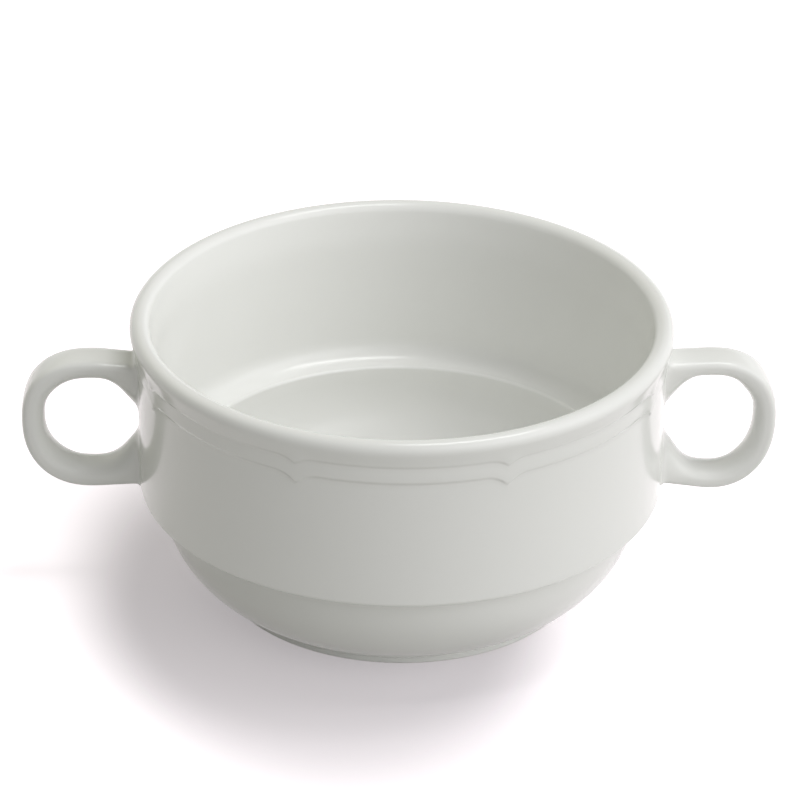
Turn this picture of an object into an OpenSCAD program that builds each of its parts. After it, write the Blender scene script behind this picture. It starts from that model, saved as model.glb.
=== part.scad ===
// Two-handled bouillon cup in glazed porcelain, fired as one piece: a near-upright upper body over a
// smaller lower bowl, so that cups nest at the step, with a scalloped double relief line under the rim
// and a strap handle on each side. Millimetres, +Z up, origin at the centre of the foot ring's underside,
// handles along X.

/* [Upper body] */
// Diameter over the rim
rim_d = 105; // [92:1:125]
// Height from the table to the top of the rim
cup_h = 57; // [50:1:68]
// Thickness of the rounded rim
rim_t = 4.2; // [3.8:0.1:4.8]
// How far the rim stands out from the body
rim_flare = 1.5; // [1.3:0.1:2.4]
// Thickness of the upright wall
wall_t = 3.4; // [2.8:0.1:4.2]

/* [Step and lower bowl] */
// Height of the step above the table
step_h = 21.6; // [18:0.2:25]
// How far the lower bowl is set in under the body
step_in = 4.0; // [3:0.1:6]
// Rounding of the body's lower edge
corner_r = 0.9; // [0.5:0.1:1.6]
// Radius of the lower bowl's outer curve
belly_r = 21.5; // [19:0.5:30]
// Thickness of the lower bowl's wall at the step
bowl_t = 4.4; // [3.6:0.1:5.2]
// Radius of the curve between the lower bowl's wall and its floor, inside
bowl_in_r = 14; // [11:0.5:15]
// Rise of the inner ledge above the outer step
ledge_rise = 1.6; // [0.8:0.1:3]
// Radius of the hollow between the inner wall and the ledge
ledge_fillet = 4.2; // [2.5:0.1:5]
// Rounding of the inner ledge's edge
ledge_edge_r = 0.6; // [0.4:0.1:1]

/* [Foot] */
// Diameter over the foot ring
foot_d = 70.8; // [62:0.2:78]
// Height of the foot ring's upright side
foot_h = 1.4; // [1.2:0.1:2.4]
// How far the foot ring stands out from the bowl's curve
foot_shoulder = 0.35; // [0.2:0.05:0.8]
// Width of the foot ring
foot_ring_t = 3.8; // [3:0.1:5]
// Rounding of the foot ring's edges
foot_edge_r = 0.5; // [0.2:0.1:0.8]
// Depth of the hollow under the foot
foot_recess = 2.0; // [1.2:0.1:3]
// Thickness of the floor over that hollow
floor_t = 3.6; // [3:0.1:5]

/* [Relief] */
// Panels round the body
panels = 8; // [6:1:12]
// Depth of each of the two relief steps
relief_step = 0.4; // [0.25:0.05:0.5]
// Upper relief line, below the top of the rim
line_1_drop = 5.1; // [4.8:0.1:6]
// Lower relief line, below the upper one
line_gap = 3.6; // [3:0.1:4.4]
// Radius of a panel's shoulders
shoulder_r = 6; // [5:0.5:9]
// Reach of the upper line's shoulder from the point between two panels
shoulder_w_1 = 3.9; // [2.5:0.1:4.5]
// Reach of the lower line's shoulder from the point between two panels
shoulder_w_2 = 4.6; // [2.5:0.1:4.8]

/* [Handles] */
// How far each handle stands out from the body
handle_out = 22.7; // [20:0.1:28]
// Top of the handle, below the top of the rim
handle_drop = 8.6; // [8.2:0.1:12]
// Height of the handle's lowest point over the step
handle_lift = -0.4; // [-0.6:0.1:3]
// Width of the strap
handle_w = 8; // [6:0.2:11]
// Thickness of the strap where it leaves the body
handle_t = 4.1; // [3.4:0.1:5]
// Thickness of the strap at its outermost point
handle_t_out = 4.8; // [3.8:0.1:5.6]
// Thickness of the strap's flat outer edge
handle_edge = 1.2; // [0.8:0.1:1.6]
// Squareness of the handle's loop, where 2 is a circle
handle_square = 2.3; // [2:0.05:2.6]
// Slope of the strap where it leaves the body, in degrees
handle_slope = 5; // [2:0.5:8]
// Length of the gusset on the strap's inner side, from the body
root_reach = 6.2; // [4:0.1:6.4]
// Height of that gusset at the body
root_h = 6.8; // [4:0.1:7.2]
// Widening of the strap at the body
root_w = 1.8; // [1:0.1:3]

/* [Hidden] */
$fn = 96;
porcelain = "#e4e6e0";

// Radii and heights of the main forms
rim_r = rim_d / 2;
lip_r = rim_t / 2;
body_r = rim_r - rim_flare;
inner_r = body_r - wall_t;
step_r = body_r - step_in;
foot_r = foot_d / 2;
foot_in_r = foot_r - foot_ring_t;
ledge_z = step_h + ledge_rise;
ledge_r = step_r - bowl_t;
floor_z = foot_recess + floor_t;
line_1_z = cup_h - line_1_drop;
line_2_z = line_1_z - line_gap;
band_1_r = body_r + 2 * relief_step;
band_2_r = body_r + relief_step;

// The lip is a full round. Straight lines run up to it from the upper band outside and from the start
// of the inner flare inside. They touch a circle that is smaller by lip_overlap, so that they end just
// inside the round and cut it cleanly.
lip_overlap = 0.005;
lip_c = [rim_r - lip_r, cup_h - lip_r];
flare_start = [inner_r, cup_h - 11];
function tangent_point(p, c, r, side) =
    let (v = c - p, reach = norm(v), a = atan2(v.y, v.x) + side * asin(r / reach))
    p + sqrt(reach * reach - r * r) * [cos(a), sin(a)];
lip_out = tangent_point([band_1_r, line_1_z], lip_c, lip_r - lip_overlap, -1);
lip_in = tangent_point(flare_start, lip_c, lip_r - lip_overlap, 1);
lip_slope = (lip_out.x - band_1_r) / (lip_out.y - line_1_z);
function upper_band_r(z) = band_1_r + lip_slope * (z - line_1_z);
band_top_z = line_1_z + 0.7;

// The lower bowl's curve has its centre at belly_r from both the step and the top of the foot ring
belly_from = [foot_r - foot_shoulder, foot_h];
belly_to = [step_r, step_h];
belly_chord = belly_to - belly_from;
belly_c = (belly_from + belly_to) / 2
    + sqrt(belly_r * belly_r - belly_chord * belly_chord / 4)
    * [-belly_chord.y, belly_chord.x] / norm(belly_chord);

// The hollow on the ledge leaves room for the rounding of the ledge's edge
ledge_hollow = min(ledge_fillet, inner_r - ledge_r - ledge_edge_r - 0.1);

module quarter_round(centre, r, quadrant) {
    translate(centre) intersection() {
        circle(r);
        translate([quadrant.x > 0 ? 0 : -r, quadrant.y > 0 ? 0 : -r]) square(r);
    }
}

module block(from, to) {
    translate(from) square(to - from);
}

// Everything inside the outer surface, as half a section
module outer_section() {
    polygon([
        [0, step_h + corner_r], [body_r, step_h + corner_r], [body_r, band_top_z],
        [upper_band_r(band_top_z), band_top_z], lip_out, lip_in, [0, lip_in.y]
    ]);
    block([0, step_h], [body_r - corner_r, step_h + corner_r]);
    quarter_round([body_r - corner_r, step_h + corner_r], corner_r, [1, -1]);
    block([0, foot_h], [belly_c.x, step_h]);
    intersection() {
        translate(belly_c) circle(belly_r);
        block([belly_c.x, foot_h], [step_r + belly_r, step_h]);
    }
    foot_section();
}

module foot_section() {
    edge = foot_edge_r;
    block([0, edge], [foot_r, foot_h]);
    block([0, 0], [foot_r - edge, edge]);
    quarter_round([foot_r - edge, edge], edge, [1, -1]);
}

// The drinking space: an upright upper part, a ledge, and a round-bottomed lower bowl
module cavity_section() {
    polygon([
        [0, ledge_z + ledge_hollow], [inner_r, ledge_z + ledge_hollow], flare_start, lip_in,
        [lip_in.x, cup_h + 1], [0, cup_h + 1]
    ]);
    block([0, ledge_z], [inner_r - ledge_hollow, ledge_z + ledge_hollow]);
    quarter_round([inner_r - ledge_hollow, ledge_z + ledge_hollow], ledge_hollow, [1, -1]);
    block([0, floor_z + bowl_in_r], [ledge_r, ledge_z]);
    block([0, floor_z], [ledge_r - bowl_in_r, floor_z + bowl_in_r]);
    quarter_round([ledge_r - bowl_in_r, floor_z + bowl_in_r], bowl_in_r, [1, -1]);
    difference() {
        block([ledge_r, ledge_z - ledge_edge_r], [ledge_r + ledge_edge_r, ledge_z]);
        translate([ledge_r + ledge_edge_r, ledge_z - ledge_edge_r]) circle(ledge_edge_r);
    }
}

// Hollow under the foot, with sloping sides and a slightly domed roof
module foot_hollow_section() {
    polygon([
        [0, -1], [foot_in_r, -1], [foot_in_r, foot_edge_r], [foot_in_r - foot_recess, foot_recess],
        [0, foot_recess + 0.4]
    ]);
}

module turned_bowl() {
    rotate_extrude() {
        difference() {
            outer_section();
            cavity_section();
            foot_hollow_section();
        }
        translate(lip_c) circle(lip_r);
    }
}

// Space under one panel's relief line: level in the middle, with a round shoulder at each side that
// falls to the point where it meets the next panel's
module panel_opening(radius, shoulder_w) {
    half_w = radius * sin(180 / panels);
    flat_w = half_w - shoulder_w;
    intersection() {
        block([-half_w - 1, -shoulder_r], [half_w + 1, 0]);
        union() {
            block([-flat_w, -shoulder_r], [flat_w, 0]);
            for (side = [-1, 1]) translate([side * flat_w, -shoulder_r]) circle(shoulder_r);
        }
    }
}

// A raised band whose lower edge follows the relief line
module scalloped_band(section, line_z, radius, shoulder_w) {
    difference() {
        rotate_extrude() polygon(section);
        for (i = [0 : panels - 1]) {
            rotate([0, 0, i * 360 / panels])
                translate([radius - 6, 0, line_z])
                rotate([90, 0, 90])
                linear_extrude(12) panel_opening(radius, shoulder_w);
        }
    }
}

module relief() {
    low_1 = line_1_z - shoulder_r + 2;
    low_2 = line_2_z - shoulder_r + 2;
    scalloped_band([
        [body_r - 1, low_1], [band_1_r, low_1], [band_1_r, line_1_z],
        [upper_band_r(band_top_z), band_top_z], [body_r - 1, band_top_z]
    ], line_1_z, band_1_r, shoulder_w_1);
    scalloped_band([
        [body_r - 1.4, low_2], [band_2_r, low_2],
        [band_2_r, line_1_z + 0.3], [body_r - 1.4, line_1_z + 0.3]
    ], line_2_z, band_2_r, shoulder_w_2);
}

// Handle: a strap lofted along a loop. The loop is the strap's outer face: a straight run out of the
// body, a half turn, and the same run back. A gusset on the inner side joins each run to the body.
loop_top = cup_h - handle_drop;
loop_low = step_h + handle_lift;
loop_r = (loop_top - loop_low) / 2;
loop_c = [body_r + handle_out - loop_r, (loop_top + loop_low) / 2];
root_in = wall_t - 0.6;
turn_steps = 28;
root_steps = 10;
ring_points = 20;
gusset_power = 1.5;
gusset_h = min(root_h, 0.8 * (loop_r - handle_t));

// Radius and height of the strap's outer face where it faces the angle a. The half turn is half of a
// squared-off circle.
function turn_point(a) =
    let (n = handle_square, e = 1 / (n - 1), u = abs(cos(a)), v = abs(sin(a)))
    loop_c + loop_r * [sign(cos(a)) * pow(u, e), sign(sin(a)) * pow(v, e)]
    / pow(pow(u, n * e) + pow(v, n * e), 1 / n);
// The upper run's outer face at a distance from the body, on the line that is tangent to the half turn
turn_start = turn_point(90 + handle_slope);
function run_point(d) =
    [body_r + d, turn_start.y - (turn_start.x - body_r - d) * tan(handle_slope)];

// Growth of the strap at a distance from the body: in width on each side, and on its inner side
function widening(d) = d >= root_w ? 0 : root_w - sqrt(root_w * root_w - pow(root_w - max(d, 0), 2));
function gusset(d) = d >= root_reach ? 0 : gusset_h * pow(1 - max(d, 0) / root_reach, gusset_power);

// Stations along the upper run: [outer face, direction to the inner side, distance from the body]
run_reach = turn_start.x - body_r - 0.4;
upper_run = concat(
    [[run_point(-root_in), [0, -1], 0]],
    [for (i = [0 : root_steps])
        let (d = min(root_reach, run_reach) * (1 - cos(180 * i / root_steps)) / 2)
        [run_point(d), [0, -1], d]]
);
half_turn = [for (i = [0 : turn_steps])
    let (a = (90 + handle_slope) * (1 - 2 * i / turn_steps), p = turn_point(a))
    [p, -[cos(a), sin(a)], p.x - body_r]];
lower_run = [for (i = [len(upper_run) - 1 : -1 : 0])
    let (s = upper_run[i])
    [[s[0].x, 2 * loop_c.y - s[0].y], [0, 1], s[2]]];
stations = concat(upper_run, half_turn, lower_run);

// One ring of the strap: nearly flat with rounded edges outside, rounded like half an ellipse inside
function power(v, e) = sign(v) * pow(abs(v), e);
function strap_ring(s) =
    let (
        half_w = handle_w / 2 + widening(s[2]),
        thickness = handle_t + (handle_t_out - handle_t) * pow(s[1].x, 2),
        depth = thickness - handle_edge + gusset(s[2])
    )
    [for (k = [0 : ring_points - 1])
        let (
            a = 360 * k / ring_points,
            outside = sin(a) > 0,
            across = half_w * power(cos(a), outside ? 0.5 : 0.9),
            inward = handle_edge - (outside ? handle_edge : depth) * power(sin(a), outside ? 0.5 : 0.9),
            p = s[0] + inward * s[1]
        )
        [p.x, across, p.y]];

module strap_handle() {
    rings = [for (s = stations) strap_ring(s)];
    last = len(rings) - 1;
    n = ring_points;
    points = [for (ring = rings) each ring];
    sides = [for (i = [0 : last - 1], k = [0 : n - 1])
        let (k2 = (k + 1) % n)
        each [
            [i * n + k, (i + 1) * n + k2, i * n + k2],
            [i * n + k, (i + 1) * n + k, (i + 1) * n + k2]
        ]];
    ends = [[for (k = [0 : n - 1]) k], [for (k = [n - 1 : -1 : 0]) last * n + k]];
    polyhedron(points, concat(sides, ends));
}

module bouillon_cup() {
    color(porcelain) {
        turned_bowl();
        relief();
        for (turn = [0, 180]) rotate([0, 0, turn]) strap_handle();
    }
}

bouillon_cup();
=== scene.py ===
import math

import bmesh
import bpy
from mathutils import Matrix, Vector


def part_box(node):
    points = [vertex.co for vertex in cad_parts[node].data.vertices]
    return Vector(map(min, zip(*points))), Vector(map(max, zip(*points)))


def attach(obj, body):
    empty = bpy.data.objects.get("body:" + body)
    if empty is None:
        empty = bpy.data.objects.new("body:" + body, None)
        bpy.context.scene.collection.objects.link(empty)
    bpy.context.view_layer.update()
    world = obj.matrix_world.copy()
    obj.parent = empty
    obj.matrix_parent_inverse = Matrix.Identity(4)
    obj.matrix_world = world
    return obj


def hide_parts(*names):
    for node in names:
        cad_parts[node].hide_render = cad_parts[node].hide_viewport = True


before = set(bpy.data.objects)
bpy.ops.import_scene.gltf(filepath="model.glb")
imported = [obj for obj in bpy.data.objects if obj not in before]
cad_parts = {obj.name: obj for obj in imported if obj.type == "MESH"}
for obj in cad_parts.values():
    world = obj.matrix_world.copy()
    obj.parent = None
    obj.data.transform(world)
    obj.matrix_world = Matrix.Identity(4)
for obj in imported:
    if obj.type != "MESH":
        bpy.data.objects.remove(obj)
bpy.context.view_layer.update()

# Two-handled bouillon cup in glazed porcelain. Lengths in this script are in millimetres, as the maker
# would write them, and are brought to metres when a mesh is finished or a lamp is placed.
MM = 0.001

# Sizes that the frame gives
cup_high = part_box("bouillon_cup")[1]
RIM_R = cup_high.y / MM
CUP_H = cup_high.z / MM
HANDLE_X = cup_high.x / MM

# Upper body
BODY_R = 51.0
INNER_R = 47.6
LIP_R = 1.95
FLARE_Z = 49.5
FLARE_R = 25.0

# Relief: two small steps, each line level over a panel and falling to a point between two panels
PANELS = 8
STEP_DEPTH = 0.4
STEP_HALF_H = 0.48
LINE_1_Z = 51.9
LINE_2_Z = 48.3
SHOULDER_R = 6.0
SHOULDER_1 = 3.9
SHOULDER_2 = 4.6
RELIEF_TURN = -1.0
WARP_FROM_Z = 40.0
WARP_TO_Z = CUP_H - 2 * LIP_R + 0.8

# Step, lower bowl and ledge
STEP_Z = 21.6
CORNER_R = 0.9
STEP_IN_R = 47.0
STEP_HOLLOW_R = 0.6
BELLY_R = 21.5
LEDGE_Z = 23.2
LEDGE_R = 42.6
LEDGE_HOLLOW_R = 4.2
LEDGE_EDGE_R = 0.6
BOWL_IN_R = 14.0
FLOOR_Z = 5.6

# Foot
FOOT_R = 35.4
FOOT_H = 1.4
FOOT_SHOULDER = 0.35
FOOT_SHOULDER_R = 0.25
FOOT_BELLY_R = 0.12
FOOT_IN_R = 31.7
FOOT_EDGE_R = 0.5
FOOT_IN_EDGE_R = 0.45
RECESS_R = 29.6
RECESS_Z = 2.0
RECESS_DOME = 0.4
RECESS_CORNER_R = 0.6

# How finely the bowl is made: its columns, the degrees between a corner's points, and the distance
# within which points are merged
COLUMNS = 320
CORNER_STEP = 9
MERGE = 0.002


def line(a, b, gap):
    """Points from a to b, about a gap apart."""
    a, b = Vector(a), Vector(b)
    n = max(1, round((b - a).length / gap))
    return [a.lerp(b, i / n) for i in range(n + 1)]


def arc(centre, radius, start, end, n):
    """Points round part of a circle, with the angles in degrees."""
    angles = [math.radians(start + (end - start) * i / n) for i in range(n + 1)]
    return [Vector(centre) + radius * Vector((math.cos(a), math.sin(a))) for a in angles]


def drop_end(points, reach):
    """The points without the last stretch of that length."""
    points = list(points)
    while len(points) > 2 and (points[-1] - points[-2]).length <= reach:
        reach -= (points[-1] - points[-2]).length
        points.pop()
    last = points[-1] - points[-2]
    points[-1] = points[-1] - last.normalized() * min(reach, last.length * 0.98)
    return points


def rounded(parts):
    """One outline from parts, each with the radius of the corner at its end."""
    outline = list(parts[0][0])
    for (before, radius), (after, _) in zip(parts, parts[1:]):
        after = list(after)
        if radius > 0:
            into = (before[-1] - before[-2]).normalized()
            out = (after[1] - after[0]).normalized()
            turn = into.angle_signed(out)
            cut = radius * math.tan(abs(turn) / 2)
            outline = drop_end(outline, cut)
            after = drop_end(after[::-1], cut)[::-1]
            start, end = outline[-1], after[0]
            steps = max(3, round(abs(turn) / math.radians(CORNER_STEP)))
            pull = 4 / 3 * math.tan(abs(turn) / 4) * radius
            c1 = start + into * pull
            c2 = end - out * pull
            for i in range(1, steps):
                outline.append(bezier(start, c1, c2, end, i / steps))
        outline += after if radius > 0 else after[1:]
    return outline


def bezier(a, b, c, d, t):
    """The point at t, from 0 to 1, on the curve from a to d that is pulled to b and c."""
    u = 1 - t
    return a * (u * u * u) + b * (3 * u * u * t) + c * (3 * u * t * t) + d * (t * t * t)


def smooth(t):
    """An even climb from 0 to 1 that starts and ends flat."""
    t = min(1, max(0, t))
    return t * t * (3 - 2 * t)


def relief_step(r, z):
    """The outline's climb over one relief step, from below."""
    rows = (-1, -0.62, -0.3, 0, 0.3, 0.62, 1)
    return [Vector((r + STEP_DEPTH * smooth((t + 1) / 2), z + t * STEP_HALF_H)) for t in rows]


def touch(point, centre, radius, side):
    """Where a line from the point touches a circle."""
    reach = centre - point
    a = math.atan2(reach.y, reach.x) + side * math.asin(radius / reach.length)
    return point + Vector((math.cos(a), math.sin(a))) * math.sqrt(reach.length_squared - radius ** 2)


def cup_outline():
    """Half of the cup's section, from the middle of the underside round to the middle of the inside."""
    band_1_r = BODY_R + 2 * STEP_DEPTH
    band_2_r = BODY_R + STEP_DEPTH
    lip_c = Vector((RIM_R - LIP_R, CUP_H - LIP_R))
    cone_from = Vector((band_1_r, LINE_1_Z + STEP_HALF_H))
    flare_from = Vector((INNER_R, FLARE_Z))
    lip_out = touch(cone_from, lip_c, LIP_R, -1)
    lip_in = touch(flare_from, lip_c, LIP_R, 1)
    out_angle = math.degrees(math.atan2(*(lip_out - lip_c).yx))
    in_angle = math.degrees(math.atan2(*(lip_in - lip_c).yx)) % 360

    foot_top = Vector((FOOT_R - FOOT_SHOULDER, FOOT_H))
    belly_top = Vector((STEP_IN_R, STEP_Z))
    chord = belly_top - foot_top
    belly_c = (foot_top + belly_top) / 2
    belly_c += math.sqrt(BELLY_R ** 2 - chord.length_squared / 4) * Vector((-chord.y, chord.x)).normalized()
    low = math.degrees(math.atan2(*(foot_top - belly_c).yx))
    high = math.degrees(math.atan2(*(belly_top - belly_c).yx))

    # Each part's points, and the radius of the corner at its end
    parts = [
        (line((0, RECESS_Z + RECESS_DOME), (RECESS_R, RECESS_Z), 4), RECESS_CORNER_R),
        (line((RECESS_R, RECESS_Z), (FOOT_IN_R, 0), 0.9), FOOT_IN_EDGE_R),
        (line((FOOT_IN_R, 0), (FOOT_R, 0), 1.2), FOOT_EDGE_R),
        (line((FOOT_R, 0), (FOOT_R, FOOT_H), 0.5), FOOT_SHOULDER_R),
        (line((FOOT_R, FOOT_H), foot_top, 0.2), FOOT_BELLY_R),
        (arc(belly_c, BELLY_R, low, high, 20), STEP_HOLLOW_R),
        (line(belly_top, (BODY_R, STEP_Z), 0.7), CORNER_R),
        (line((BODY_R, STEP_Z), (BODY_R, LINE_2_Z - STEP_HALF_H), 1.0), 0),
        (relief_step(BODY_R, LINE_2_Z), 0),
        (line((band_2_r, LINE_2_Z + STEP_HALF_H), (band_2_r, LINE_1_Z - STEP_HALF_H), 0.8), 0),
        (relief_step(band_2_r, LINE_1_Z), 0),
        (line(cone_from, lip_out, 0.5), 0),
        (arc(lip_c, LIP_R, out_angle, in_angle, 22), 0),
        (line(lip_in, flare_from, 1.4), FLARE_R),
        (line(flare_from, (INNER_R, LEDGE_Z), 1.6), LEDGE_HOLLOW_R),
        (line((INNER_R, LEDGE_Z), (LEDGE_R, LEDGE_Z), 0.6), LEDGE_EDGE_R),
        (line((LEDGE_R, LEDGE_Z), (LEDGE_R, FLOOR_Z), 1.2), BOWL_IN_R),
        (line((LEDGE_R, FLOOR_Z), (0, FLOOR_Z), 3), 0),
    ]
    return rounded(parts)


def only(obj):
    """Selects one object and makes it the active one."""
    bpy.ops.object.select_all(action="DESELECT")
    obj.select_set(True)
    bpy.context.view_layer.objects.active = obj


def turned_bowl():
    """The bowl, turned round the Z axis from its outline, in millimetres."""
    outline = cup_outline()
    mesh = bpy.data.meshes.new("cup")
    points = [(p.x, 0, p.y) for p in outline]
    mesh.from_pydata(points, [(i, i + 1) for i in range(len(points) - 1)], [])
    cup = bpy.data.objects.new("cup", mesh)
    bpy.context.scene.collection.objects.link(cup)
    only(cup)
    bpy.ops.object.mode_set(mode="EDIT")
    bpy.ops.mesh.select_all(action="SELECT")
    bpy.ops.mesh.spin(steps=COLUMNS, angle=2 * math.pi, center=(0, 0, 0), axis=(0, 0, 1))
    bpy.ops.mesh.select_all(action="SELECT")
    bpy.ops.mesh.remove_doubles(threshold=MERGE)
    bpy.ops.mesh.normals_make_consistent(inside=False)
    bpy.ops.object.mode_set(mode="OBJECT")
    return cup


def shoulder_drop(angle, reach):
    """How far a relief line falls below its level at an angle round the cup."""
    panel = 2 * math.pi / PANELS
    away = abs((angle / panel) % 1 - 0.5) * panel * BODY_R
    if away >= reach:
        return 0
    return SHOULDER_R - math.sqrt(SHOULDER_R ** 2 - (reach - away) ** 2)


def between(z, stops):
    """The value at z on straight runs between (z, value) stops."""
    for (z0, v0), (z1, v1) in zip(stops, stops[1:]):
        if z <= z1:
            return v0 + (v1 - v0) * max(0, z - z0) / (z1 - z0)
    return stops[-1][1]


def scallop(cup):
    """Lowers the outside's rows at the two relief lines to their points between the panels."""
    for v in cup.data.vertices:
        r = math.hypot(v.co.x, v.co.y)
        z = v.co.z
        if r < BODY_R - 1 or z < WARP_FROM_Z or z > WARP_TO_Z:
            continue
        angle = math.atan2(v.co.y, v.co.x) - math.radians(RELIEF_TURN)
        drop_1 = shoulder_drop(angle, SHOULDER_1)
        drop_2 = shoulder_drop(angle, SHOULDER_2)
        v.co.z -= between(z, [
            (WARP_FROM_Z, 0), (LINE_2_Z - STEP_HALF_H, drop_2), (LINE_2_Z + STEP_HALF_H, drop_2),
            (LINE_1_Z - STEP_HALF_H, drop_1), (LINE_1_Z + STEP_HALF_H, drop_1), (WARP_TO_Z, 0),
        ])


# How finely a strap is made, and where its straight runs start beyond the wall
RUN_FROM = 1.5
RUN_GAP = 0.3
TURN_STEPS = 180
STATION_GAP = 0.9
FACE_STEPS = 8
EDGE_STEPS = 8
INNER_STEPS = 24

# A strap's section: a slightly crowned outer face, rounded edges, flanks, and a half oval inside
FACE_CROWN = 0.12
EDGE_R = 1.3
FLANK = 2.0


class Loop:
    """The line of a strap's outer face: out of the body, round, and back. Its half turn is made of two
    squared-off quarter ovals that meet at the outermost point."""

    def __init__(self, out_x, turn_x, top, middle, low, square_up, square_low, slope_up, slope_low):
        self.out_x = out_x
        self.turn_x = turn_x
        self.top = top
        self.middle = middle
        self.low = low
        self.square_up = square_up
        self.square_low = square_low
        self.first = 90 + slope_up
        self.last = -90 - slope_low

    def turn(self, degrees):
        """The point of the half turn that faces the angle."""
        a = math.radians(degrees)
        c, s = math.cos(a), math.sin(a)
        across = self.out_x - self.turn_x
        rise = self.top - self.middle if s >= 0 else self.middle - self.low
        square = self.square_up if s >= 0 else self.square_low
        power = 1 / (square - 1)
        u, v = abs(across * c), abs(rise * s)
        size = (u ** (power + 1) + v ** (power + 1)) ** (1 / square)
        x = math.copysign(across * u ** power, c) / size
        z = math.copysign(rise * v ** power, s) / size
        return Vector((self.turn_x + x, self.middle + z))

    def run(self, degrees):
        """The straight run from near the body to the turn's end that faces the angle."""
        inward = towards_inside(degrees)
        end = self.turn(degrees)
        start_x = BODY_R + RUN_FROM
        start = Vector((start_x, end.y - (end.x - start_x) * inward.x / -inward.y))
        return [(p, degrees) for p in line(start, end, RUN_GAP)[:-1]]

    def stations(self):
        """Evenly spaced places along the strap: (point of the outer face, angle that it faces)."""
        path = self.run(self.first)
        for i in range(TURN_STEPS + 1):
            degrees = self.first + (self.last - self.first) * i / TURN_STEPS
            path.append((self.turn(degrees), degrees))
        path += self.run(self.last)[::-1]
        lengths = [0]
        for (p, _), (q, _) in zip(path, path[1:]):
            lengths.append(lengths[-1] + (q - p).length)
        count = round(lengths[-1] / STATION_GAP)
        places, i = [], 0
        for k in range(count + 1):
            at = lengths[-1] * k / count
            while i < len(path) - 2 and lengths[i + 1] < at:
                i += 1
            t = (at - lengths[i]) / (lengths[i + 1] - lengths[i])
            (p, a), (q, b) = path[i], path[i + 1]
            places.append((p.lerp(q, t), a + (b - a) * t))
        return places


class Gusset:
    """The strap's growth on its inner side near the body."""

    def __init__(self, reach, height, power):
        self.reach = reach
        self.height = height
        self.power = power

    def at(self, away):
        """What it adds to the strap's thickness at a distance from the wall."""
        return self.height * max(0, 1 - away / self.reach) ** self.power


class Strap:
    """One handle. Thicknesses are those of the upper run, upper bend, outermost part, lower bend and
    lower run; the bends' are what they add to the others."""

    def __init__(self, side, loop, thicknesses, upper_gusset, lower_gusset, width):
        self.side = side
        self.loop = loop
        self.top_t, self.up_bend_t, self.out_t, self.low_bend_t, self.low_t = thicknesses
        self.upper_gusset = upper_gusset
        self.lower_gusset = lower_gusset
        self.half_w = width / 2

    def thickness(self, outer, degrees):
        """The strap's thickness behind a point of its outer face that faces the angle."""
        a = math.radians(degrees)
        upper = degrees > 0
        t = self.out_t * math.cos(a) ** 2 + (self.top_t if upper else self.low_t) * math.sin(a) ** 2
        if abs(degrees) < 90:
            t += (self.up_bend_t if upper else self.low_bend_t) * math.sin(2 * a) ** 2
        return t + (self.upper_gusset if upper else self.lower_gusset).at(outer.x - BODY_R)


STRAPS = [
    Strap(
        side=1,
        loop=Loop(
            out_x=73.0, turn_x=60.4, top=48.7, middle=36.0, low=20.45,
            square_up=2.31, square_low=2.2, slope_up=3.0, slope_low=7.5,
        ),
        thicknesses=(3.8, 0.65, 4.4, 0.3, 4.1),
        upper_gusset=Gusset(reach=6.6, height=6.5, power=1.65),
        lower_gusset=Gusset(reach=7.0, height=5.8, power=2.2),
        width=8.0,
    ),
    Strap(
        side=-1,
        loop=Loop(
            out_x=HANDLE_X, turn_x=60.1, top=48.45, middle=35.5, low=20.9,
            square_up=2.29, square_low=2.26, slope_up=6.2, slope_low=3.3,
        ),
        thicknesses=(4.45, 0.35, 4.45, 0.35, 4.8),
        upper_gusset=Gusset(reach=6.6, height=5.25, power=1.75),
        lower_gusset=Gusset(reach=7.6, height=5.7, power=2.15),
        width=8.1,
    ),
]

# Where the straps join the wall: the heights of the two openings, how deep the wall's outer skin and the
# step's underside reach in from the body's radius, and the fillets' rings and pull
ROOT_COLUMNS = 5
UPPER_ROOT = (36.0, LINE_2_Z + STEP_HALF_H)
LOWER_ROOT = (STEP_Z - 0.05, 34.4)
ROOT_MARGIN = 0.01
SKIN = 1.2
UNDER_STEP = 2.0
ROOT_RINGS = 7
ROOT_PULL = 0.55

# Shares count round a strap's section: 3 on each side, from the middle of the outer face
TURN_OF_SHARES = 6
SAME_SHARE = 0.0001


def towards_inside(degrees):
    """The direction from a strap's outer face to its inner side."""
    a = math.radians(degrees)
    return Vector((-math.cos(a), -math.sin(a)))


def strap_section(half_w, thickness):
    """Half of the strap's section as (across, inward) points, from the middle of the outer face to the
    middle of the inner side, with the places of the outer edge and of the inner side's 45 degree point."""
    flat = half_w - EDGE_R
    across = [i / FACE_STEPS for i in range(FACE_STEPS + 1)]
    points = [Vector((flat * t, FACE_CROWN * t ** 2)) for t in across]
    edge = arc((flat, FACE_CROWN + EDGE_R), EDGE_R, -90, 0, EDGE_STEPS)
    points += edge[1:]
    points += line(edge[-1], (half_w, FLANK), RUN_GAP)[1:]
    angles = [math.radians(90 * i / INNER_STEPS) for i in range(INNER_STEPS + 1)]
    inner = [Vector((half_w * math.cos(a), FLANK + (thickness - FLANK) * math.sin(a))) for a in angles]
    points += inner[1:]
    lengths = [0]
    for p, q in zip(points, points[1:]):
        lengths.append(lengths[-1] + (q - p).length)
    edge_at = lengths[FACE_STEPS + EDGE_STEPS // 2]
    low_at = lengths[-1 - INNER_STEPS // 2]
    return points, lengths, (edge_at, low_at, lengths[-1])


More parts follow.
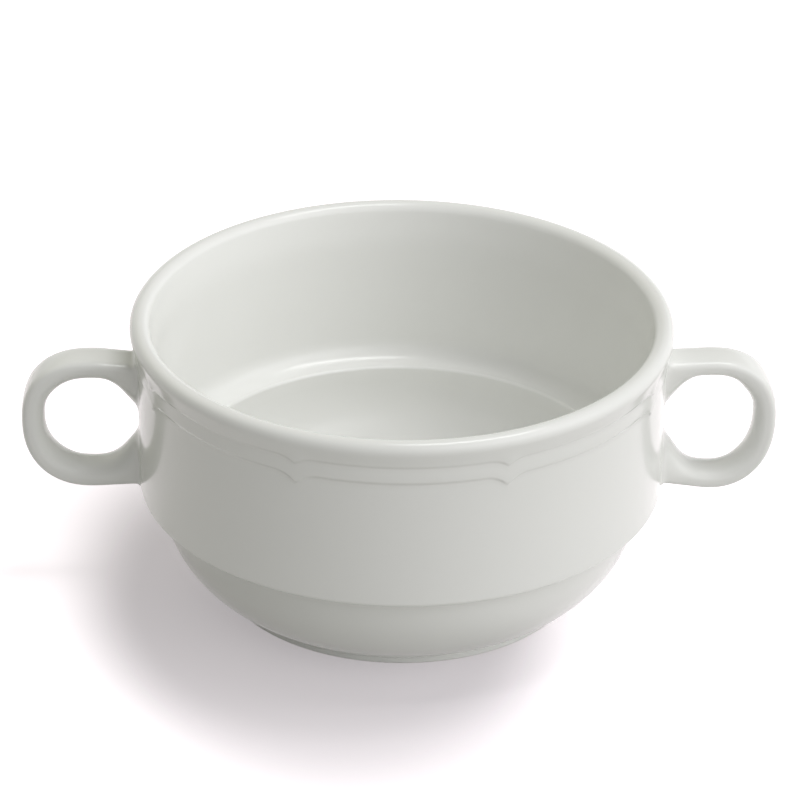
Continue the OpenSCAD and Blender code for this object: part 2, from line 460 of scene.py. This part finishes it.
def on_section(section, share):
    """The section's point for a share from 0 to 3: 0 to 1 over the outer face, to 2 down the flank, and
    to 3 under the inner side."""
    points, lengths, (edge_at, low_at, end) = section
    marks = (0, edge_at, low_at, end)
    k = min(2, int(share))
    at = marks[k] + (marks[k + 1] - marks[k]) * (share - k)
    i = 0
    while i < len(points) - 2 and lengths[i + 1] < at:
        i += 1
    t = (at - lengths[i]) / max(1e-9, lengths[i + 1] - lengths[i])
    return points[i].lerp(points[i + 1], min(1, max(0, t)))


def strap_ring(strap, station, shares):
    """The strap's points round one station. Shares are positive on the +Y side."""
    outer, degrees = station
    section = strap_section(strap.half_w, strap.thickness(outer, degrees))
    inward = towards_inside(degrees)
    ring = []
    for share in shares:
        p = on_section(section, abs(share))
        at = outer + inward * p.y
        ring.append(Vector((at.x, math.copysign(p.x, share), at.y)))
    return ring


def root_hole(bm, side, low, high, underside):
    """Opens the wall for one root of a handle between two heights, and returns the hole's edge: its
    corners in order from the middle of the strap's outer side, with their normals."""
    half = math.radians(360 / COLUMNS * ROOT_COLUMNS)
    faces = []
    for f in bm.faces:
        c = f.calc_center_median()
        x, y = c.x * side, c.y * side
        r = math.hypot(x, y)
        if x < 0 or abs(math.atan2(y, x)) > half or r < BODY_R - UNDER_STEP:
            continue
        in_reach = low - ROOT_MARGIN < c.z < high + ROOT_MARGIN
        if in_reach and (r > BODY_R - SKIN or c.z < STEP_Z + 0.1):
            faces.append(f)
    normals = {v: v.normal.copy() for f in faces for v in f.verts}
    bmesh.ops.delete(bm, geom=faces, context="FACES")
    edge = {v for v in normals if v.is_valid and any(e.is_boundary for e in v.link_edges)}
    middle = [v for v in edge if abs(v.co.y) < 0.05]
    start = min(middle, key=lambda v: v.co.z) if underside else max(middle, key=lambda v: v.co.z)
    loop = [start]
    step = [e.other_vert(start) for e in start.link_edges if e.is_boundary]
    loop.append(max(step, key=lambda v: v.co.y * side))
    while True:
        ahead = [e.other_vert(loop[-1]) for e in loop[-1].link_edges if e.is_boundary]
        ahead = [v for v in ahead if v is not loop[-2]]
        if ahead[0] is start:
            break
        loop.append(ahead[0])
    return [(v, normals[v]) for v in loop]


def edge_shares(loop):
    """The strap section's shares for a root hole's corners."""
    n = len(loop)
    top = ROOT_COLUMNS
    rows = n // 2 - 2 * top
    sides = [loop[top + i][0].co for i in range(rows + 1)]
    lengths = [0]
    for p, q in zip(sides, sides[1:]):
        lengths.append(lengths[-1] + (q - p).length)
    shares = []
    for k in range(n // 2 + 1):
        if k <= top:
            shares.append(k / top)
        elif k <= top + rows:
            shares.append(1 + lengths[k - top] / lengths[-1])
        else:
            shares.append(2 + (k - top - rows) / top)
    return shares + [-s for s in shares[-2:0:-1]]


def join_rings(bm, a, b, a_shares, b_shares):
    """Faces between two neighbouring rings whose corners may differ in number."""
    a_turn = [s % TURN_OF_SHARES for s in a_shares] + [TURN_OF_SHARES]
    b_turn = [s % TURN_OF_SHARES for s in b_shares] + [TURN_OF_SHARES]
    past_end = TURN_OF_SHARES + 1
    i = j = 0
    while i < len(a) or j < len(b):
        a_on, b_on = a[(i + 1) % len(a)], b[(j + 1) % len(b)]
        to_a = a_turn[i + 1] if i < len(a) else past_end
        to_b = b_turn[j + 1] if j < len(b) else past_end
        a_at, b_at = a[i % len(a)], b[j % len(b)]
        if abs(to_a - to_b) < SAME_SHARE:
            bm.faces.new((a_at, a_on, b_on, b_at))
            i += 1
            j += 1
        elif to_a < to_b:
            bm.faces.new((a_at, a_on, b_at))
            i += 1
        else:
            bm.faces.new((a_at, b_on, b_at))
            j += 1


def add_strap(bm, strap):
    """Lofts one handle's strap and joins it to the wall with a hollow fillet at each root."""
    side = strap.side
    upper = root_hole(bm, side, *UPPER_ROOT, False)
    lower = root_hole(bm, side, *LOWER_ROOT, True)
    stations = strap.loop.stations()
    upper_shares, lower_shares = edge_shares(upper), edge_shares(lower)
    half = len(stations) // 2
    rings = [strap_ring(strap, station, upper_shares) for station in stations[:half]]
    rings += [strap_ring(strap, station, lower_shares) for station in stations[half:]]

    def root_rings(loop, ring, ahead):
        """Rings from the wall to the strap, each point on a curve that leaves the wall along it."""
        made = []
        for i in range(1, ROOT_RINGS):
            row = []
            for (v, normal), p1, q in zip(loop, ring, ahead):
                p0 = Vector((v.co.x * side, v.co.y * side, v.co.z))
                n = Vector((normal.x * side, normal.y * side, normal.z))
                d = p1 - p0
                t0 = (d - n * d.dot(n)).normalized()
                t1 = (q - p1).normalized()
                h0 = ROOT_PULL * abs(d.dot(t0))
                h1 = ROOT_PULL * abs(d.dot(t1))
                row.append(bezier(p0, p0 + t0 * h0, p1 - t1 * h1, p1, i / ROOT_RINGS))
            made.append(row)
        return made

    all_rings = root_rings(upper, rings[0], rings[1]) + rings
    all_rings += root_rings(lower, rings[-1], rings[-2])[::-1]
    rows = [[v for v, _ in upper]]
    for ring in all_rings:
        rows.append([bm.verts.new((p.x * side, p.y * side, p.z)) for p in ring])
    rows.append([v for v, _ in lower])
    for a, b in zip(rows, rows[1:]):
        a_shares = upper_shares if len(a) == len(upper) else lower_shares
        b_shares = upper_shares if len(b) == len(upper) else lower_shares
        join_rings(bm, a, b, a_shares, b_shares)


def build_cup():
    """The whole cup as one closed mesh, in metres."""
    cup = turned_bowl()
    scallop(cup)
    bm = bmesh.new()
    bm.from_mesh(cup.data)
    bm.normal_update()
    for strap in STRAPS:
        add_strap(bm, strap)
    bmesh.ops.recalc_face_normals(bm, faces=bm.faces)
    bmesh.ops.scale(bm, vec=(MM, MM, MM), verts=bm.verts)
    bm.to_mesh(cup.data)
    bm.free()
    only(cup)
    bpy.ops.object.shade_smooth()
    return cup


class Socket:
    """One output of a shader node, so that maths on it reads as an expression."""

    def __init__(self, nodes, out):
        self.nodes = nodes
        self.out = out

    def maths(self, operation, a, b):
        return self.nodes.add("ShaderNodeMath", {"operation": operation}, {0: a, 1: b})

    def __add__(self, other):
        return self.maths("ADD", self, other)

    def __radd__(self, other):
        return self.maths("ADD", other, self)

    def __sub__(self, other):
        return self.maths("SUBTRACT", self, other)

    def __rsub__(self, other):
        return self.maths("SUBTRACT", other, self)

    def __mul__(self, other):
        return self.maths("MULTIPLY", self, other)

    def __rmul__(self, other):
        return self.maths("MULTIPLY", other, self)

    def __truediv__(self, other):
        return self.maths("DIVIDE", self, other)

    def clamp(self):
        """The value, kept between 0 and 1."""
        return self.nodes.add("ShaderNodeClamp", {}, {"Value": self})


class Nodes:
    """Builds a material's or the world's nodes."""

    def __init__(self, owner):
        owner.use_nodes = True
        self.tree = owner.node_tree
        self.tree.nodes.clear()

    def add(self, kind, settings, inputs, out=0):
        """A node of that type. Settings come first, then values or links on its sockets."""
        node = self.tree.nodes.new(kind)
        for name, value in settings.items():
            setattr(node, name, value)
        for name, value in inputs.items():
            if isinstance(value, Socket):
                self.tree.links.new(value.out, node.inputs[name])
            else:
                node.inputs[name].default_value = value
        return Socket(self, node.outputs[out])

    def blend(self, factor, a, b):
        """A colour between a and b."""
        return self.add("ShaderNodeMix", {"data_type": "RGBA"}, {0: factor, 6: a, 7: b}, 2)

    def scaled(self, colour, size):
        """A colour times a value."""
        return self.add("ShaderNodeVectorMath", {"operation": "SCALE"}, {0: colour, "Scale": size})

    def output(self, kind, shader):
        """Puts the shader on the material's or the world's output."""
        self.tree.links.new(shader.out, self.tree.nodes.new(kind).inputs[0])


# The glaze's two whites, and the dry clay under the foot. The glaze starts a little above the foot's face
# and is whole a little higher.
GLAZE_LOW = (0.868, 0.872, 0.848, 1)
GLAZE_HIGH = (0.882, 0.886, 0.866, 1)
BISCUIT = (0.76, 0.74, 0.69, 1)
GLAZE_ROUGHNESS = 0.16
BISCUIT_ROUGHNESS = 0.62
GLAZE_IOR = 1.45
GLAZE_FROM_Z = 0.1
GLAZE_RISE = 6.0
CLOUD_SCALE = 38.0
WAVE_SCALE = 70.0
WAVE_STRENGTH = 0.12
WAVE_HEIGHT = 0.2


def porcelain_glaze():
    """White porcelain under a clear glaze: smooth and wet-looking, with faint waves in the glaze and a
    dry, unglazed ring under the foot."""
    material = bpy.data.materials.new("porcelain_glaze")
    n = Nodes(material)
    place = n.add("ShaderNodeTexCoord", {}, {}, "Object")
    axes = n.add("ShaderNodeSeparateXYZ", {}, {0: place}, "Z")
    z = axes / MM
    clouds = n.add("ShaderNodeTexNoise", {}, {"Vector": place, "Scale": CLOUD_SCALE, "Detail": 2.0})
    waves = n.add("ShaderNodeTexNoise", {}, {"Vector": place, "Scale": WAVE_SCALE, "Detail": 1.0})
    glaze = n.blend(clouds, GLAZE_LOW, GLAZE_HIGH)
    glazed = ((z - GLAZE_FROM_Z) * GLAZE_RISE).clamp()
    colour = n.blend(glazed, BISCUIT, glaze)
    roughness = BISCUIT_ROUGHNESS - glazed * (BISCUIT_ROUGHNESS - GLAZE_ROUGHNESS)
    bump = n.add("ShaderNodeBump", {}, {
        "Strength": WAVE_STRENGTH,
        "Distance": WAVE_HEIGHT * MM,
        "Height": waves,
    }, "Normal")
    shader = n.add("ShaderNodeBsdfPrincipled", {}, {
        "Base Color": colour,
        "Roughness": roughness,
        "IOR": GLAZE_IOR,
        "Normal": bump,
    })
    n.output("ShaderNodeOutputMaterial", shader)
    return material


# The floor as it is looked at: its white, a glow that brings it to full white, and the faint rose of its
# shadow
FLOOR_SIZE = 6000.0
FLOOR_WHITE = 0.9
FLOOR_WHITE_GLOW = 0.59
FLOOR_TINT = (1.0, 0.95, 0.985)

# What the floor throws on the cup
FLOOR_BOUNCE = (0.4, 0.4, 0.38, 1)
FLOOR_BOUNCE_GLOW = (0.093, 0.093, 0.087, 1)

# The soft oval under the cup: its middle, its turn in degrees, its two radii, how soft its edge is across
# and along, and how much darker its middle is
SHADE_AT = (-16.5, -12.5)
SHADE_TURN = 8.7
SHADE_R = (43.5, 66.0)
SHADE_SOFT = (0.45, 0.69)
SHADE_DEPTH = 0.455

# Keeps a division from being by zero in the oval's very middle
ABOVE_ZERO = 0.0001


def looking_ray(n):
    """1 for the rays that look at the background: from the camera, in a reflection and through glass."""
    camera, glossy, through = (
        n.add("ShaderNodeLightPath", {}, {}, name)
        for name in ("Is Camera Ray", "Is Glossy Ray", "Is Transmission Ray")
    )
    return (camera + glossy + through).clamp()


def soft_shade(n, place):
    """From 0 in the middle of a soft oval on the floor to 1 outside it. Its edge is softer along the
    oval than across."""
    at = n.add("ShaderNodeMapping", {"vector_type": "TEXTURE"}, {
        "Vector": place,
        "Location": Vector((*SHADE_AT, 0)) * MM,
        "Rotation": (0, 0, math.radians(SHADE_TURN)),
        "Scale": Vector((*SHADE_R, 1 / MM)) * MM,
    })
    reach = n.add("ShaderNodeVectorMath", {"operation": "LENGTH"}, {0: at}, "Value")
    along = n.add("ShaderNodeSeparateXYZ", {}, {0: at}, "Y")
    share = (along * along) / (reach * reach + ABOVE_ZERO)
    soft = SHADE_SOFT[0] + share * (SHADE_SOFT[1] - SHADE_SOFT[0])
    t = ((reach - 1) / soft + 0.5).clamp()
    return t * t * (3 - 2 * t)


def backdrop_floor():
    """A white floor that carries the cup's shadow. It is white to the camera and in reflections, and
    throws less on the cup, so that it comes out white with no more light on the cup. A soft oval under
    the cup is darker, because the photo's shadow is deeper and rounder than the lamps alone give."""
    bpy.ops.mesh.primitive_plane_add(size=FLOOR_SIZE * MM, location=(0, 0, 0))
    floor = bpy.context.object
    floor.name = "floor"
    material = bpy.data.materials.new("white_floor")
    n = Nodes(material)
    place = n.add("ShaderNodeTexCoord", {}, {}, "Object")
    seen = looking_ray(n)
    shade = 1 - SHADE_DEPTH + soft_shade(n, place) * SHADE_DEPTH
    white = n.blend(seen, FLOOR_BOUNCE, n.scaled(FLOOR_TINT, shade * FLOOR_WHITE))
    white_glow = n.blend(seen, FLOOR_BOUNCE_GLOW, n.scaled(FLOOR_TINT, shade * FLOOR_WHITE_GLOW))
    diffuse = n.add("ShaderNodeBsdfDiffuse", {}, {"Color": white})
    glow = n.add("ShaderNodeEmission", {}, {"Color": white_glow, "Strength": 1.0})
    n.output("ShaderNodeOutputMaterial", n.add("ShaderNodeAddShader", {}, {0: diffuse, 1: glow}))
    floor.data.materials.append(material)


# The camera: its place in millimetres and degrees, and its lens and aim in the photo's pixels
CAMERA_DISTANCE = 900.0
CAMERA_ELEVATION = 28.25
CAMERA_TURN = -1.4
CAMERA_AIM_Z = 38.4
CAMERA_ROLL = 0.69
LENS_PX = 4627.5
IMAGE_PX = 800
AIM_PX_X = 401.2
SENSOR = 36.0
CLIP = (50.0, 20000.0)


def photo_camera():
    """The photograph's camera: a long lens a little to the left of the cup's front, looking down."""
    data = bpy.data.cameras.new("photo_camera")
    data.sensor_width = SENSOR
    data.lens = LENS_PX / IMAGE_PX * SENSOR
    data.shift_x = (IMAGE_PX / 2 - AIM_PX_X) / IMAGE_PX
    data.clip_start, data.clip_end = (reach * MM for reach in CLIP)
    camera = bpy.data.objects.new("photo_camera", data)
    bpy.context.scene.collection.objects.link(camera)
    up = math.radians(CAMERA_ELEVATION)
    turn = math.radians(CAMERA_TURN)
    flat = CAMERA_DISTANCE * math.cos(up)
    back = Vector((math.sin(turn) * flat, -math.cos(turn) * flat, CAMERA_DISTANCE * math.sin(up)))
    camera.location = (back + Vector((0, 0, CAMERA_AIM_Z))) * MM
    camera.rotation_euler = (-back).to_track_quat("-Z", "Y").to_euler()
    bpy.context.view_layer.update()
    camera.rotation_euler.rotate_axis("Z", math.radians(CAMERA_ROLL))
    bpy.context.scene.camera = camera


def towards(azimuth, elevation):
    """A direction away from the cup. Azimuth 0 is the front and 90 is the right."""
    a, e = math.radians(azimuth), math.radians(elevation)
    return Vector((math.sin(a) * math.cos(e), -math.cos(a) * math.cos(e), math.sin(e)))


# The lamp: azimuth and elevation in degrees, distance, sides and strength
PANEL_FROM = (95, 76.5)
PANEL_AWAY = 1000.0
PANEL_SIZE = (270.0, 500.0)
PANEL_STRENGTH = 0.86


def overhead_panel():
    """The panel nearly overhead that gives the shadow its shape. It is long from front to back."""
    data = bpy.data.lights.new("overhead_panel", "AREA")
    data.shape = "RECTANGLE"
    data.size, data.size_y = (side * MM for side in PANEL_SIZE)
    data.energy = PANEL_STRENGTH * math.pi
    panel = bpy.data.objects.new("overhead_panel", data)
    bpy.context.scene.collection.objects.link(panel)
    panel.location = towards(*PANEL_FROM) * PANEL_AWAY * MM
    panel.rotation_euler = panel.location.to_track_quat("Z", "Y").to_euler()
    panel.visible_camera = False


# The room's light. Each glow: azimuth and elevation in degrees, strength and colour. The white backdrop
# fades into the room above it.
ROOM = 0.025
GLOW_SHARPNESS = 10.0
WARM = (1.0, 1.0, 0.87)
PLAIN = (1.0, 1.0, 1.0)
GLOWS = [
    (22, 38, 0.95, PLAIN),
    (45, 12, 1.17, PLAIN),
    (68, 38, 1.42, PLAIN),
    (90, 12, 0.84, PLAIN),
    (135, 12, 0.36, PLAIN),
    (202, 38, 0.62, WARM),
    (225, 12, 0.36, WARM),
    (248, 38, 0.8, WARM),
    (338, 38, 0.12, PLAIN),
]
BACKDROP_TOP = 0.35
BACKDROP_FADE = 8.0


def room_light():
    """A dim room with large soft panels, each a round glow in its direction. What is looked at beside
    the cup, from level to a little above it, is a white backdrop."""
    world = bpy.context.scene.world or bpy.data.worlds.new("world")
    bpy.context.scene.world = world
    n = Nodes(world)
    look = n.add("ShaderNodeTexCoord", {}, {}, "Generated")
    light = (ROOM, ROOM, ROOM)
    for azimuth, elevation, strength, colour in GLOWS:
        facing = n.add("ShaderNodeVectorMath", {"operation": "DOT_PRODUCT"}, {
            0: look, 1: towards(azimuth, elevation)}, "Value")
        size = n.add("ShaderNodeMath", {"operation": "EXPONENT"}, {0: (facing - 1) * GLOW_SHARPNESS})
        panel = n.scaled(colour, size * strength)
        light = n.add("ShaderNodeVectorMath", {"operation": "ADD"}, {0: light, 1: panel})
    room = n.add("ShaderNodeBackground", {}, {"Color": light, "Strength": 1.0})
    white = n.add("ShaderNodeBackground", {}, {"Color": (1, 1, 1, 1), "Strength": 1.0})
    height = n.add("ShaderNodeSeparateXYZ", {}, {0: look}, "Z")
    backdrop = ((BACKDROP_TOP - height) * BACKDROP_FADE).clamp()
    seen = looking_ray(n) * backdrop
    n.output("ShaderNodeOutputWorld", n.add("ShaderNodeMixShader", {}, {0: seen, 1: room, 2: white}))


bpy.context.scene.view_settings.view_transform = "Standard"
photo_camera()
overhead_panel()
room_light()
backdrop_floor()

cup = build_cup()
cup.data.materials.append(porcelain_glaze())
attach(cup, "root")
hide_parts("bouillon_cup")
